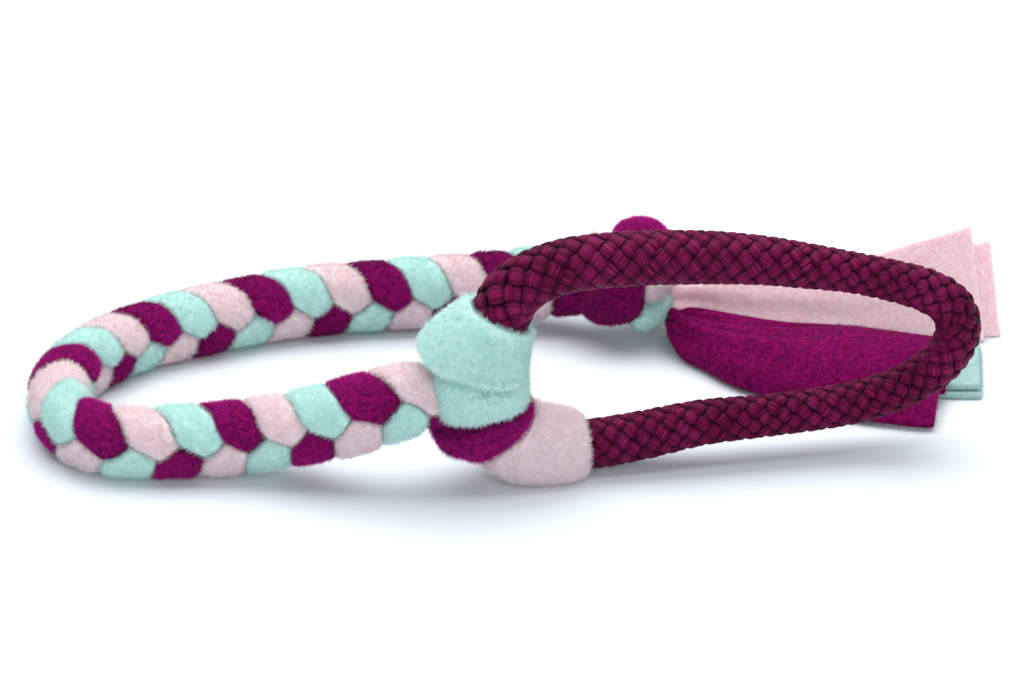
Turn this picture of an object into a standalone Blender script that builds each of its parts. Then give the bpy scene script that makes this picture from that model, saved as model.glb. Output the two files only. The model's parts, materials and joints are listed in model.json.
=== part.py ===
# Braided fleece tug toy. A rope loop is the handle. Three fleece strips are folded in half over it,
# plaited together as doubled strands, tied off in a knot and left with two loose tails each.
# Metres, +Z up. Places are measured from the neck, where the plait leaves the folds, and the whole
# toy is then set down with the middle of its footprint at the origin.

import math

import bmesh
import bpy
import numpy as np
from mathutils import Vector

up = np.array([0.0, 0.0, 1.0])

# Cut sizes and clearances
rope_diameter = 0.0160
strip_width = 0.0500
cloth = 0.0024
clearance = 0.0003
layer_gap = 0.0006
floor_flat = 0.0005
cutter_overrun = 0.0200
sharp_degrees = 50

# Plait
braid_reach = 0.1220
braid_spread = 0.1140
neck_height = 0.0345
braid_pitch = 0.0430
braid_half_height = 0.0127
braid_half_width = 0.0108
strand_reach = 0.0062
strand_lift = 0.0038
strand_radius = 0.0104
strand_gap = 0.0006
braid_start_degrees = 66.0
ring_spacing = 0.0040
strand_sides = 12
outline_power = 2.2
soften_power = 6.0
halvings = 14
bend_share = 0.9  # of a bend's inner radius, the most that a strand fills

# Knot
knot_length = 0.0280
turn_radius = 0.0143
turn_half_width = 0.0092
turn_half_depth = 0.0062
core_radius = 0.0086
knot_start_share = -0.50
knot_gather_share = 0.24
knot_exit_share = 0.446

# Handle
handle_reach = 0.1565
handle_height = 0.0660
handle_yaw_degrees = 10.0
neck_to_rope = 0.0209
nose_radius = 0.0098
nose_clearance = 0.0005
nose_sides = 48
seat_top_share = 1.35  # of the plait's half height, how far the seat reaches above the neck

# Folds round the rope, each with its length of rope
mint_fold_length = 0.0330
magenta_fold_length = 0.0110
pink_fold_length = 0.0290
fold_depth = 0.0100
fold_edge_share = 0.04
fold_edge_thin_share = 0.55
fold_ring_spacing = 0.0030
fold_sides = 20

# Tails
tail_length = 0.1160
tail_axis_back = 0.0130
tail_points = 8
tail_rings_per_station = 3

mint = ("fleece_mint", (0.46, 0.80, 0.70, 1.0), 0.95)
magenta = ("fleece_magenta", (0.40, 0.02, 0.20, 1.0), 0.95)
pink = ("fleece_pink", (0.86, 0.66, 0.66, 1.0), 0.95)
burgundy = ("rope_burgundy", (0.15, 0.01, 0.05, 1.0), 0.6)

# Route of the plait's middle, from inside the folds round the bend to the knot: shares of
# braid_reach, of braid_spread and of the rise from the floor to the neck, then the plait's size
# there and the stretch of its pitch.
braid_shares = [
    (0.120, 0.000, 1.10, 0.92, 1.15),
    (0.040, 0.000, 1.05, 0.92, 1.15),
    (-0.030, 0.000, 0.93, 0.95, 1.15),
    (-0.085, 0.004, 0.77, 0.97, 1.15),
    (-0.184, 0.012, 0.54, 0.98, 1.10),
    (-0.334, 0.036, 0.27, 0.94, 1.02),
    (-0.490, 0.056, 0.09, 0.93, 1.05),
    (-0.640, 0.056, 0.01, 0.92, 1.05),
    (-0.761, 0.054, 0.00, 0.90, 1.05),
    (-0.855, 0.080, 0.00, 0.89, 1.05),
    (-0.930, 0.145, 0.00, 0.88, 1.06),
    (-0.984, 0.250, 0.00, 0.88, 1.05),
    (-1.000, 0.370, 0.00, 0.88, 1.02),
    (-0.968, 0.490, 0.00, 0.88, 0.97),
    (-0.900, 0.605, 0.00, 0.89, 0.95),
    (-0.791, 0.707, 0.00, 0.91, 0.95),
    (-0.631, 0.800, 0.00, 0.93, 0.99),
    (-0.467, 0.875, 0.00, 0.95, 1.02),
    (-0.300, 0.928, 0.00, 0.96, 1.01),
    (-0.126, 0.955, 0.00, 0.97, 1.00),
    (0.038, 0.972, 0.03, 0.97, 1.01),
    (0.205, 0.977, 0.10, 0.97, 1.02),
    (0.349, 0.960, 0.24, 0.97, 1.02),
    (0.476, 0.937, 0.38, 0.97, 1.02),
]
knot_centre_shares = (0.578, 0.912, 0.43)
knot_yaw_degrees = -4.0

# Each strand through the knot: share of knot_length along its axis, share of turn_radius out from
# the axis, and the angle in degrees, which is 0 at the front and 90 at the top.
pink_knot_shares = [
    (-0.22, 0.42, 95),
    (0.02, 0.40, 70),
    (0.24, 0.66, 22),
    (0.40, 0.90, 2),
    (0.58, 1.00, -4),
]
magenta_knot_shares = [
    (-0.30, 0.72, -42),
    (-0.08, 0.98, 0),
    (0.00, 1.00, 50),
    (0.07, 1.00, 100),
    (0.14, 1.00, 150),
    (0.21, 1.00, 200),
    (0.30, 0.86, 235),
    (0.40, 0.62, 250),
    (0.58, 0.50, 262),
]
mint_knot_shares = [
    (-0.24, 0.36, -95),
    (0.00, 0.34, -75),
    (0.22, 0.72, -60),
    (0.38, 1.04, -58),
    (0.58, 1.06, -56),
]

# Handle loop in its own upright plane, from the top of the folds clockwise:
# shares of handle_reach and handle_height from the rope beside the neck, and of rope_diameter.
handle_shares = [
    (0.030, 0.890, 1.24),
    (0.049, 0.985, 1.22),
    (0.090, 1.068, 1.16),
    (0.155, 1.125, 1.12),
    (0.218, 1.140, 1.12),
    (0.320, 1.138, 1.12),
    (0.450, 1.115, 1.10),
    (0.570, 1.075, 1.02),
    (0.660, 1.028, 0.95),
    (0.770, 0.965, 0.86),
    (0.870, 0.890, 0.88),
    (0.930, 0.830, 0.92),
    (0.980, 0.740, 0.95),
    (1.000, 0.615, 0.95),
    (0.985, 0.490, 0.94),
    (0.945, 0.385, 0.92),
    (0.880, 0.300, 0.90),
    (0.795, 0.245, 0.90),
    (0.710, 0.222, 0.90),
    (0.585, 0.208, 0.90),
    (0.455, 0.200, 0.96),
    (0.328, 0.158, 1.02),
    (0.218, 0.135, 1.04),
    (0.122, 0.150, 1.02),
    (0.052, 0.220, 1.00),
    (0.012, 0.350, 1.00),
    (0.000, 0.490, 1.00),
    (0.000, 0.635, 1.00),
    (0.006, 0.762, 1.12),
]

# Thickness of each fold's bunched cloth: the share of its length down the rope, then the shares of
# fold_depth at the front, on the plait's side, at the back and inside the loop.
mint_fold_shares = [
    (0.00, 0.19, 0.26, 0.22, 0.19),
    (0.12, 0.26, 0.38, 0.26, 0.26),
    (0.25, 0.32, 0.70, 0.32, 0.36),
    (0.42, 0.38, 0.82, 0.34, 0.44),
    (0.60, 0.44, 0.82, 0.38, 0.48),
    (0.80, 0.50, 0.80, 0.40, 0.48),
    (1.00, 0.48, 0.75, 0.36, 0.44),
]
magenta_fold_shares = [
    (0.00, 0.40, 0.75, 0.34, 0.40),
    (0.30, 0.44, 0.80, 0.38, 0.43),
    (0.60, 0.44, 0.66, 0.38, 0.43),
    (1.00, 0.42, 0.46, 0.36, 0.42),
]
pink_fold_shares = [
    (0.00, 0.43, 0.44, 0.40, 0.43),
    (0.25, 0.50, 0.46, 0.44, 0.50),
    (0.50, 0.48, 0.42, 0.42, 0.48),
    (0.75, 0.42, 0.34, 0.38, 0.38),
    (0.90, 0.30, 0.24, 0.28, 0.24),
    (1.00, 0.16, 0.14, 0.16, 0.14),
]

# Sections of one tail of each pair, from the knot to the end: the share of tail_length ahead, the
# slant of the section, and points over its width. A point is across and above the knot's exit on
# the floor, in shares of strip_width, and above it by the layers that lie beneath.
pink_tail_shares = [
    (0.00, 0.00, [(0.06, 0.32), (0.04, 0.39), (0.05, 0.46), (0.08, 0.53), (0.14, 0.58)]),
    (0.13, 0.00, [(0.12, 0.14), (0.07, 0.24), (0.06, 0.36), (0.09, 0.46), (0.15, 0.55)]),
    (0.33, 0.00, [(0.07, 0.00), (0.03, 0.16), (0.03, 0.30), (0.07, 0.43), (0.13, 0.54)]),
    (0.56, 0.00, [(0.02, 0.00), (-0.01, 0.16), (0.00, 0.31), (0.03, 0.45), (0.08, 0.57)]),
    (0.78, -0.05, [(-0.05, 0.00), (-0.06, 0.18), (-0.04, 0.36), (-0.01, 0.54), (0.02, 0.71)]),
    (0.95, -0.14, [(-0.06, 0.00), (-0.06, 0.22), (-0.04, 0.44), (-0.02, 0.63), (0.00, 0.83)]),
]
mint_tail_shares = [
    (0.00, 0.00, [(-0.21, 0.05), (-0.16, 0.02), (-0.10, 0.01), (-0.04, 0.02), (0.01, 0.05)]),
    (0.15, 0.00, [(-0.38, 0.00), (-0.28, 0.00), (-0.18, 0.00), (-0.08, 0.00), (0.00, 0.01)]),
    (0.32, 0.00, [(-0.66, 0.00), (-0.50, 0.00), (-0.34, 0.00), (-0.20, 0.00), (-0.09, 0.00)]),
    (0.55, 0.02, [(-0.88, 0.00), (-0.68, 0.00), (-0.50, 0.00), (-0.32, 0.00), (-0.12, 0.00)]),
    (0.78, 0.06, [(-0.93, 0.00), (-0.74, 0.00), (-0.54, 0.00), (-0.34, 0.00), (-0.15, 0.00)]),
    (0.90, 0.10, [(-0.96, 0.00), (-0.77, 0.00), (-0.57, 0.00), (-0.38, 0.00), (-0.19, 0.00)]),
]
magenta_tail_shares = [
    (0.00, 0.00, [(-0.26, 0.03), (-0.20, 0.09), (-0.13, 0.11), (-0.06, 0.12), (0.01, 0.13)]),
    (0.04, 0.00, [(-0.46, -0.15), (-0.38, -0.02), (-0.28, 0.06), (-0.16, 0.10), (-0.03, 0.12)]),
    (0.09, 0.00, [(-0.56, -0.17), (-0.50, -0.06), (-0.38, 0.03), (-0.22, 0.09), (-0.06, 0.11)]),
    (0.16, 0.00, [(-0.81, -0.17), (-0.74, -0.05), (-0.60, 0.04), (-0.42, 0.07), (-0.22, 0.06)]),
    (0.32, 0.00, [(-1.06, -0.17), (-0.98, -0.04), (-0.81, 0.04), (-0.60, 0.06), (-0.36, 0.05)]),
    (0.49, 0.04, [(-1.28, -0.17), (-1.18, -0.04), (-0.98, 0.04), (-0.72, 0.06), (-0.44, 0.10)]),
    (0.64, 0.12, [(-1.38, -0.17), (-1.22, -0.07), (-1.00, 0.01), (-0.78, 0.07), (-0.56, 0.10)]),
    (0.74, 0.18, [(-1.41, -0.17), (-1.22, -0.08), (-1.02, 0.00), (-0.83, 0.06), (-0.63, 0.09)]),
]

# Each tail: its name, colour and sections, the layers beneath it, how far it lies from those
# sections in layers, the share of its width that is drawn back at the front, and the share of
# tail_length by which its end goes further.
tails = [
    ("magenta_tail_upper", magenta, magenta_tail_shares, 3, 0.0, 0.00, 0.000),
    ("magenta_tail_lower", magenta, magenta_tail_shares, 3, -1.4, 0.25, 0.040),
    ("mint_tail_lower", mint, mint_tail_shares, 0, 0.0, 0.00, 0.000),
    ("mint_tail_upper", mint, mint_tail_shares, 0, 1.0, 0.05, -0.030),
    ("pink_tail_near", pink, pink_tail_shares, None, 0.0, 0.00, 0.000),
    ("pink_tail_far", pink, pink_tail_shares, None, -1.4, 0.00, 0.060),
]

rest_height = braid_half_height - floor_flat
neck_rise = neck_height - rest_height
knot_centre = np.array(
    [
        knot_centre_shares[0] * braid_reach,
        knot_centre_shares[1] * braid_spread,
        rest_height + knot_centre_shares[2] * neck_rise,
    ]
)
knot_exit = knot_centre[0] + knot_exit_share * knot_length
tails_axis = np.array([knot_exit + clearance, knot_centre[1] + tail_axis_back, 0.0])
layer = cloth + layer_gap


def unit(vectors):
    """Vectors scaled to a length of one."""
    return vectors / np.linalg.norm(vectors, axis=-1, keepdims=True)


def smooth_line(points, steps=8, closed=False):
    """Points on a smooth curve through the given ones."""
    points = np.asarray(points, float)
    count = len(points)
    if closed:
        before, after, last = points[-1], points[:2], count
    else:
        before = 2 * points[0] - points[1]
        after = [2 * points[-1] - points[-2]]
        last = count - 1
    padded = np.vstack([before, points, after])
    line = []
    for i in range(last):
        a, b, c, d = padded[i : i + 4]
        for t in np.arange(steps) / steps:
            line.append(
                0.5 * (2 * b + (c - a) * t + (2 * a - 5 * b + 4 * c - d) * t**2
                       + (3 * b - a - 3 * c + d) * t**3)
            )
    if not closed:
        line.append(points[-1])
    return np.array(line)


def run_of(line):
    """Distance along a line at each of its points."""
    steps = np.linalg.norm(np.diff(line, axis=0), axis=1)
    return np.concatenate([[0.0], np.cumsum(steps)])


def along(line, distances):
    """Values of a line's columns at the given distances along its first three."""
    run = run_of(line[:, :3])
    return np.stack([np.interp(distances, run, column) for column in line.T], axis=1)


def evenly(line, spacing):
    """The line's points again, spaced evenly."""
    length = run_of(line[:, :3])[-1]
    return along(line, np.linspace(0.0, length, max(3, round(length / spacing) + 1)))


def tangents(line):
    return unit(np.gradient(line, axis=0))


def carried_frames(line):
    """Two directions square to the line at each point, carried along it without twist."""
    heading = tangents(line)
    first = []
    side = np.cross(up, heading[0])
    for direction in heading:
        side = side - direction * np.dot(side, direction)
        side = side / np.linalg.norm(side)
        first.append(side)
    first = np.array(first)
    return first, np.cross(heading, first)


def material_of(kind):
    """The Principled material of one kind, made once."""
    name, colour, roughness = kind
    found = bpy.data.materials.get(name)
    if found:
        return found
    made = bpy.data.materials.new(name)
    made.use_nodes = True
    shader = made.node_tree.nodes["Principled BSDF"]
    shader.inputs["Base Color"].default_value = colour
    shader.inputs["Roughness"].default_value = roughness
    shader.inputs["Metallic"].default_value = 0.0
    return made


def object_from(name, mesh_maker, kind, collection, pivot):
    """A new object under a pivot, from a bmesh made in the toy's own places."""
    mesh = bpy.data.meshes.new(name)
    mesh_maker.normal_update()
    if mesh_maker.calc_volume(signed=True) < 0:
        bmesh.ops.reverse_faces(mesh_maker, faces=mesh_maker.faces[:])
    bmesh.ops.translate(mesh_maker, verts=mesh_maker.verts[:], vec=-world_place(pivot))
    mesh_maker.to_mesh(mesh)
    mesh_maker.free()
    mesh.shade_smooth()
    mesh.set_sharp_from_angle(angle=math.radians(sharp_degrees))
    thing = bpy.data.objects.new(name, mesh)
    collection.objects.link(thing)
    thing.parent = pivot
    if kind:
        mesh.materials.append(material_of(kind))
    return thing


def world_place(pivot):
    """Where a pivot stands, added up through its parents, before the toy is set down."""
    place = Vector((0.0, 0.0, 0.0))
    while pivot:
        place += pivot.location
        pivot = pivot.parent
    return place


def pivot_at(name, place, parent, collection):
    """An empty on a joint's axis."""
    pivot = bpy.data.objects.new(name, None)
    collection.objects.link(pivot)
    pivot.parent = parent
    pivot.location = Vector(place) - world_place(parent)
    return pivot


def loft(rings, capped=True):
    """A bmesh skin over rings of equal count, closed at both ends."""
    maker = bmesh.new()
    rows = [[maker.verts.new(point) for point in ring] for ring in rings]
    for low, high in zip(rows, rows[1:]):
        for i in range(len(low)):
            j = (i + 1) % len(low)
            maker.faces.new((low[i], low[j], high[j], high[i]))
    if capped:
        maker.faces.new(rows[0][::-1])
        maker.faces.new(rows[-1])
    else:
        for i in range(len(rows[0])):
            j = (i + 1) % len(rows[0])
            maker.faces.new((rows[-1][i], rows[-1][j], rows[0][j], rows[0][i]))
    return maker


def braid_middle():
    """The plait's middle line, with its size and the turn of its strands along it."""
    points = [
        (x * braid_reach, y * braid_spread, size * rest_height + z * neck_rise, size, stretch)
        for x, y, z, size, stretch in braid_shares
    ]
    line = evenly(smooth_line(points), strand_gap)
    rate = 2 * math.pi / (braid_pitch * line[:, 4])
    turns = np.diff(run_of(line[:, :3])) * (rate[1:] + rate[:-1]) / 2
    turned = np.concatenate([[0.0], np.cumsum(turns)])
    neck = int(np.argmin(np.linalg.norm(line[:, :2], axis=1)))
    return line[:, :3], line[:, 3], turned - turned[neck] + math.radians(braid_start_degrees)


def braid_sides(middle):
    """The sides of the plait at each point of its middle: to the left and over it."""
    heading = tangents(middle)
    left = unit(np.cross(up, heading))
    return left, np.cross(heading, left)


def plaited_line(order):
    """One strand's middle through the plait: a sine across it and twice as many through it."""
    middle, size, phase = braid_middle()
    phase = phase - order * 2 * math.pi / 3
    left, over = braid_sides(middle)
    across = strand_reach * size * np.sin(phase)
    through = strand_lift * size * np.sin(2 * phase)
    return middle + over * across[:, None] + left * through[:, None]


def knot_directions():
    """The knot's axis, the side that faces back and the side that faces up."""
    yaw = math.radians(knot_yaw_degrees)
    axis = np.array([math.cos(yaw), math.sin(yaw), 0.0])
    return axis, np.cross(up, axis)


def knotted_line(shares):
    """One strand's middle through the knot."""
    axis, back = knot_directions()
    points = []
    for ahead, out, degrees in shares:
        angle = math.radians(degrees)
        radial = -math.cos(angle) * back + math.sin(angle) * up
        points.append(knot_centre + ahead * knot_length * axis + out * turn_radius * radial)
    return np.array(points)


def strand_line(order, knot_shares):
    """A strand's whole middle line, plait and knot, as evenly spaced points."""
    plait = evenly(plaited_line(order), ring_spacing / 2)
    return evenly(smooth_line(np.vstack([plait[:-3], knotted_line(knot_shares)]), 4), ring_spacing)


def strand_limits(line, wide, deep):
    """How far a strand may swell at each ring: its two half sizes, the direction of the second and
    the share of the way into the knot."""
    axis, _ = knot_directions()
    offset = line - knot_centre
    ahead = offset @ axis
    radial = offset - ahead[:, None] * axis
    inside = np.clip((ahead / knot_length - knot_start_share) / knot_gather_share, 0.0, 1.0)
    inside = inside * (np.linalg.norm(offset, axis=1) < 2 * knot_length)
    half_wide = strand_radius + (wide - strand_radius) * inside
    half_deep = strand_radius + (deep - strand_radius) * inside
    return half_wide, half_deep, unit(radial), inside


def outline_reach(line, outs):
    """How far the plait's rounded outline lies from each place in it, in each of some directions."""
    middle, size, _ = braid_middle()
    left, over = braid_sides(middle)
    reach = np.zeros(outs.shape[:2])
    for i, place in enumerate(line):
        near = int(np.argmin(np.linalg.norm(middle - place, axis=1)))
        axes = np.stack([left[near] / braid_half_width, over[near] / braid_half_height]) / size[near]
        start, steps = axes @ (place - middle[near]), outs[i] @ axes.T
        stride = 2 * braid_half_height
        for _ in range(halvings):
            stride = stride / 2
            tried = start + steps * (reach[i] + stride)[:, None]
            reach[i] += stride * (np.sum(np.abs(tried) ** outline_power, axis=1) < 1)
    return np.maximum(reach, cloth / 2)


def soft_least(first, second):
    """The lesser of two lengths, rounded where they are alike."""
    return (first**-soften_power + second**-soften_power) ** (-1 / soften_power)


def swollen_rings(line, limits, rivals):
    """Rings round a strand, swollen to the plait's outline or until they meet a neighbour half way."""
    half_wide, half_deep, radial, inside = limits
    first, second = carried_frames(line)
    bend = np.gradient(tangents(line), axis=0) / ring_spacing
    run = run_of(line)
    angles = np.linspace(0.0, 2 * math.pi, strand_sides, endpoint=False)
    outs = (np.cos(angles)[None, :, None] * first[:, None]
            + np.sin(angles)[None, :, None] * second[:, None])
    outline = outline_reach(line, outs) + inside[:, None] * braid_reach
    near = 4 * strand_radius
    rings = []
    for i, place in enumerate(line):
        others = np.vstack(rivals + [line[np.abs(run - run[i]) > near]])
        apart = place - others
        apart = apart[np.linalg.norm(apart, axis=1) < near]
        deep_part = (outs[i] @ radial[i]) ** 2
        reach = (deep_part / half_deep[i] ** 2 + (1 - deep_part) / half_wide[i] ** 2) ** -0.5
        closing = strand_gap - outs[i] @ apart.T
        squared = np.sum(apart**2, axis=1) - strand_gap**2
        half_way = np.where(closing > 0, squared / (2 * np.abs(closing)), near).min(axis=1)
        inward = outs[i] @ bend[i]
        curved = np.where(inward > 0, bend_share / np.abs(inward), near)
        swell = soft_least(soft_least(reach, outline[i]), np.minimum(half_way, curved))
        ring = place + swell[:, None] * outs[i]
        ring[:, 2] = np.maximum(ring[:, 2], 0.0)
        rings.append(ring)
    return rings


def upright_cutter(name, outline, top, collection, pivot):
    """A cutter with an outline in plan, from below the floor to its top."""
    maker = bmesh.new()
    face = maker.faces.new([maker.verts.new((x, y, -cutter_overrun)) for x, y in outline])
    grown = bmesh.ops.extrude_face_region(maker, geom=[face])
    raised = [part for part in grown["geom"] if isinstance(part, bmesh.types.BMVert)]
    bmesh.ops.translate(maker, verts=raised, vec=(0.0, 0.0, cutter_overrun + top))
    return hidden(object_from(name, maker, None, collection, pivot))


def arc(centre, radius, start_degrees, end_degrees):
    """Points in plan round a centre."""
    steps = round(nose_sides * abs(end_degrees - start_degrees) / 360)
    angles = np.radians(np.linspace(start_degrees, end_degrees, steps + 1))
    return [(centre[0] + radius * math.cos(a), centre[1] + radius * math.sin(a)) for a in angles]


def knuckle_cutter(collection, pivot):
    """Everything ahead of a half round of nose_radius on the neck's upright axis."""
    wide = 3 * nose_radius
    outline = [(0.0, wide), (wide, wide), (wide, -wide), (0.0, -wide)]
    outline += arc((0.0, 0.0), nose_radius, -90, 90)
    return upright_cutter("neck_knuckle_cutter", outline, 2 * handle_height, collection, pivot)


def seat_cutter(collection, pivot):
    """The round seat in the folds that the plait's nose turns in."""
    outline = arc((0.0, 0.0), nose_radius + nose_clearance, 0, 360)[:-1]
    top = neck_height + seat_top_share * braid_half_height
    return upright_cutter("neck_seat_cutter", outline, top, collection, pivot)


def exit_cutter(collection, pivot):
    """Everything past the knot's exit, where the strands end and the tails begin."""
    ahead, wide = knot_exit + knot_length, 2 * turn_radius
    low, high = knot_centre[1] - wide, knot_centre[1] + wide
    outline = [(knot_exit, low), (ahead, low), (ahead, high), (knot_exit, high)]
    return upright_cutter("knot_exit_cutter", outline, 2 * handle_height, collection, pivot)


def hidden(cutter):
    cutter.hide_render = True
    cutter.display_type = "WIRE"
    return cutter


def cut(thing, cutter):
    modifier = thing.modifiers.new("cut_" + cutter.name, "BOOLEAN")
    modifier.operation = "DIFFERENCE"
    modifier.solver = "EXACT"
    modifier.object = cutter


def make_strands(collection, pivot, cutters):
    """Three strands that fill the plait between them, each cut at the neck and at the knot."""
    kinds = [
        ("pink_strand", pink, pink_knot_shares, core_radius, core_radius),
        ("magenta_strand", magenta, magenta_knot_shares, turn_half_width, turn_half_depth),
        ("mint_strand", mint, mint_knot_shares, core_radius, core_radius),
    ]
    lines = [strand_line(order, shares) for order, (_, _, shares, _, _) in enumerate(kinds)]
    for order, (name, kind, _, wide, deep) in enumerate(kinds):
        rivals = [evenly(line, ring_spacing / 3) for i, line in enumerate(lines) if i != order]
        line = lines[order]
        rings = swollen_rings(line, strand_limits(line, wide, deep), rivals)
        strand = object_from(name, loft(rings), kind, collection, pivot)
        for cutter in cutters:
            cut(strand, cutter)


def handle_way():
    """The level direction of the loop's plane, away from the neck."""
    yaw = math.radians(handle_yaw_degrees)
    return np.array([math.cos(yaw), math.sin(yaw), 0.0])


def handle_line():
    """The rope's closed middle line, with its diameter as a fourth column."""
    points = [
        (*((neck_to_rope + x * handle_reach) * handle_way() + z * handle_height * up),
         size * rope_diameter)
        for x, z, size in handle_shares
    ]
    return smooth_line(points, 3, closed=True)


def make_handle(collection, pivot):
    """The rope loop, one unbroken tube."""
    line = handle_line()
    curve = bpy.data.curves.new("rope_handle", "CURVE")
    curve.dimensions = "3D"
    curve.bevel_depth = rope_diameter / 2
    curve.bevel_resolution = 4
    curve.use_fill_caps = True
    spline = curve.splines.new("POLY")
    spline.points.add(len(line) - 1)
    spline.use_cyclic_u = True
    origin = np.array(world_place(pivot))
    for point, (x, y, z, size) in zip(spline.points, line):
        point.co = (x - origin[0], y - origin[1], z - origin[2], 1.0)
        point.radius = size / rope_diameter
    curve.materials.append(material_of(burgundy))
    rope = bpy.data.objects.new("rope_handle", curve)
    collection.objects.link(rope)
    rope.parent = pivot


def folded_rope():
    """The rope from the top of the folds back down through them, with its diameter and heading."""
    line = handle_line()
    line = np.vstack([line[:1], line[:0:-1]])
    return evenly(np.column_stack([line, tangents(line[:, :3])]), clearance)


def make_fold(name, kind, start, length, thickness_shares, collection, pivot, cutter):
    """Bunched cloth round the rope, of its own thickness on each side, its edges rounded in."""
    count = round(length / fold_ring_spacing)
    shares = np.array([0.0, *np.linspace(fold_edge_share, 1 - fold_edge_share, count), 1.0])
    rings = along(folded_rope(), start + clearance / 2 + shares * (length - clearance))
    angles = np.linspace(0.0, 2 * math.pi, fold_sides, endpoint=False)
    quarters = np.radians([0, 90, 180, 270])
    weights = np.maximum(0.0, np.cos(angles - quarters[:, None])) ** 2
    table = smooth_line(thickness_shares)
    outer, inner = [], []
    for share, ring in zip(shares, rings):
        place, size, heading = ring[:3], ring[3], unit(ring[4:])
        front = np.cross(handle_way(), up)
        front = unit(front - heading * np.dot(front, heading))
        outside = np.cross(heading, front)
        outs = np.cos(angles)[:, None] * front + np.sin(angles)[:, None] * outside
        sides = [np.interp(share, table[:, 0], column) for column in table.T[1:]]
        edge = 1.0 if 0.0 < share < 1.0 else fold_edge_thin_share
        thick = fold_depth * edge * (np.array(sides) @ weights)
        inside = place + (size / 2 + clearance) * outs
        outside_ring = inside + thick[:, None] * outs
        outside_ring[:, 2] = np.maximum(outside_ring[:, 2], 0.0)
        outer.append(outside_ring)
        inner.append(inside)
    fold = object_from(name, loft(outer + inner[::-1], capped=False), kind, collection, pivot)
    cut(fold, cutter)


def make_folds(collection, pivot, cutter):
    """The three strips' folds, one below the other down the rope."""
    start = 0.0
    for name, kind, length, shares in (
        ("mint_fold", mint, mint_fold_length, mint_fold_shares),
        ("magenta_fold", magenta, magenta_fold_length, magenta_fold_shares),
        ("pink_fold", pink, pink_fold_length, pink_fold_shares),
    ):
        make_fold(name, kind, start, length, shares, collection, pivot, cutter)
        start += length


def tail_surface(shares, layers, offset, drawn, stretch):
    """A tail's middle surface as rows of points over its width, with its normals."""
    base = 0.0 if layers is None else cloth / 2 + layers * layer
    rows = []
    for ahead, slant, points in shares:
        section = smooth_line(strip_width * np.array(points), tail_points)
        run = run_of(section)
        further = stretch if ahead == shares[-1][0] else 0.0
        reach = (ahead + further) * tail_length + slant * run
        wanted = np.linspace(drawn, 1.0, tail_points) * run[-1]
        rows.append([np.interp(wanted, run, column) for column in (reach, *section.T)])
    stations = np.array(rows).transpose(0, 2, 1)
    lines = [smooth_line(stations[:, i], tail_rings_per_station) for i in range(tail_points)]
    surface = np.stack(lines, axis=1)
    facing = unit(np.cross(np.gradient(surface, axis=0), np.gradient(surface, axis=1)))
    start = np.array([knot_exit + clearance, knot_centre[1], base])
    return surface + start + offset * layer * facing, facing


def make_tail(name, kind, shares, layers, offset, drawn, stretch, collection, pivot):
    """One loose end of a strip, a sheet of cloth in the fold that it lies in."""
    surface, facing = tail_surface(shares, layers, offset, drawn, stretch)
    rings = []
    for places, outs in zip(surface, facing):
        ring = np.vstack([places + outs * cloth / 2, (places - outs * cloth / 2)[::-1]])
        ring[:, 0] = np.maximum(ring[:, 0], knot_exit + clearance)
        ring[:, 2] = np.maximum(ring[:, 2], 0.0)
        rings.append(ring)
    object_from(name, loft(rings), kind, collection, pivot)


def make_tails(collection, toy):
    """Three pairs of tails on one axis behind the knot, each pair carried by the one before it."""
    pivot = toy
    for front in range(0, len(tails), 2):
        colour = tails[front][0].split("_")[0]
        pivot = pivot_at(colour + "_tails_pivot", tails_axis, pivot, collection)
        for row in tails[front : front + 2]:
            make_tail(*row, collection, pivot)


def set_down(collection, toy):
    """Moves the toy so that the middle of its footprint is at the origin."""
    bpy.context.view_layer.update()
    graph = bpy.context.evaluated_depsgraph_get()
    corners = []
    for thing in collection.objects:
        if thing.type not in ("MESH", "CURVE"):
            continue
        shape = thing.evaluated_get(graph)
        mesh = shape.to_mesh()
        points = np.empty(len(mesh.vertices) * 3)
        mesh.vertices.foreach_get("co", points)
        shape.to_mesh_clear()
        world = np.array(shape.matrix_world)
        corners.append(points.reshape(-1, 3) @ world[:3, :3].T + world[:3, 3])
    corners = np.vstack(corners)
    low, high = corners.min(axis=0), corners.max(axis=0)
    toy.location = (-(low[0] + high[0]) / 2, -(low[1] + high[1]) / 2, 0.0)
    bpy.context.view_layer.update()
    print("box in mm", ((high - low) * 1000).round(2), "moved by", np.array(toy.location).round(5))


def main():
    for thing in list(bpy.data.objects):
        bpy.data.objects.remove(thing, do_unlink=True)
    parts = bpy.data.collections.new("braided_fleece_tug_toy")
    cutters = bpy.data.collections.new("cutters")
    for collection in (parts, cutters):
        bpy.context.scene.collection.children.link(collection)
    toy = bpy.data.objects.new("tug_toy", None)
    parts.objects.link(toy)
    neck = pivot_at("neck_pivot", (0.0, 0.0, 0.0), toy, parts)
    make_strands(parts, toy, [knuckle_cutter(cutters, toy), exit_cutter(cutters, toy)])
    make_handle(parts, neck)
    make_folds(parts, neck, seat_cutter(cutters, toy))
    make_tails(parts, toy)
    set_down(parts, toy)
    for thing in parts.objects:
        if thing.type == "EMPTY":
            print(thing.name, "at", np.array(thing.matrix_world.translation).round(5))


main()
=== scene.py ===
# Braided fleece tug toy: a rope loop, three fleece strips folded over it and plaited, a knot and tails.
import json
import math

import bmesh
import bpy
import numpy as np
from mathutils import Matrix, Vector, noise
from mathutils.kdtree import KDTree


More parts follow.
